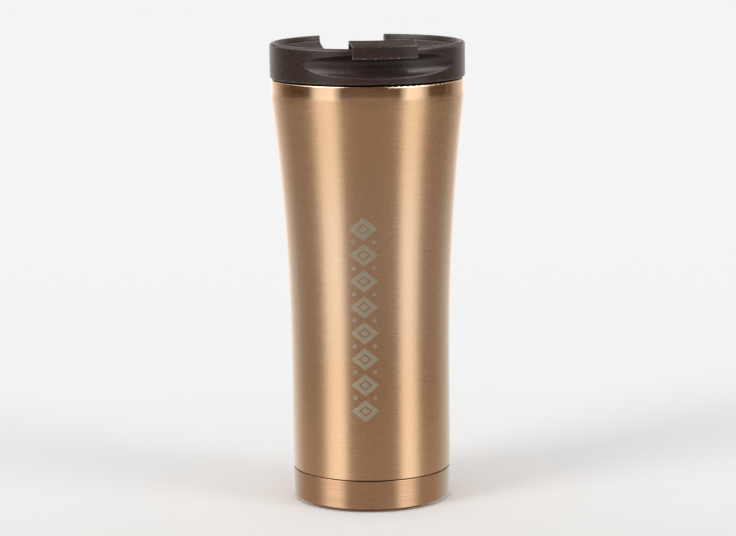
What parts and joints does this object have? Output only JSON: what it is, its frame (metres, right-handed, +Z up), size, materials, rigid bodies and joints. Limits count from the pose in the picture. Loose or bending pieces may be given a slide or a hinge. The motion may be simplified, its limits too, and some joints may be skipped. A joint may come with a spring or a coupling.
{
  "type": "insulated tumbler",
  "caption": "Tall flared double-walled tumbler in brushed copper-toned steel, with a dark screw-in lid and a flip lever that uncovers its drink slot.",
  "frame": {"origin": "centre of the foot pad's underside, the face that the tumbler stands on", "axes": "+Z up along the cup's axis; -Y towards the drinking side, where the lever's tab hangs over the rim; X along the hinge pin"},
  "size_m": [0.084, 0.0862, 0.2026],
  "materials": {
    "body_metal": "brushed round the body, copper-toned",
    "liner_steel": "satin",
    "sealing_glass": "fused",
    "getter_alloy": "pressed powder",
    "spring_steel": "bright",
    "foil": "bright foil",
    "foam_tape": "foam",
    "foot_silicone": "matt",
    "lid_plastic": "fine moulded grain, dark brown",
    "pin_steel": "ground",
    "seal_silicone": "matt"
  },
  "bodies": {
    "cup": {"outer_shell": "body_metal", "inner_liner": "liner_steel", "vacuum_base": "liner_steel", "sealing_bead": "sealing_glass", "getter_capsule": "getter_alloy", "getter_clip": "spring_steel", "radiation_foil": "foil", "base_cover": "body_metal", "base_adhesive": "foam_tape", "foot_pad": "foot_silicone"},
    "seal": {"mouth_gasket": "seal_silicone"},
    "lid": {"lid_shell": "lid_plastic", "lid_plug": "lid_plastic", "hinge_pin": "pin_steel"},
    "lever": {"flip_lever": "lid_plastic", "drink_stopper": "seal_silicone", "vent_stopper": "seal_silicone"}
  },
  "joints": [
    {"name": "lid_rise", "type": "slide", "parent": "cup", "child": "seal", "axis": [0, 0, 1], "range_m": [0, 0.0181]},
    {"name": "lid_turn", "type": "hinge", "parent": "seal", "child": "lid", "pos_m": [0, 0, 0.18], "axis": [0, 0, 1], "range_deg": [0, 540]},
    {"name": "lever_flip", "type": "hinge", "parent": "lid", "child": "lever", "pos_m": [0, 0, 0.1929], "axis": [-1, 0, 0], "range_deg": [0, 165]}
  ],
  "couplings": [
    {"joint": "lid_rise", "follows": "lid_turn", "m_per_rad": 0.0019099}
  ]
}
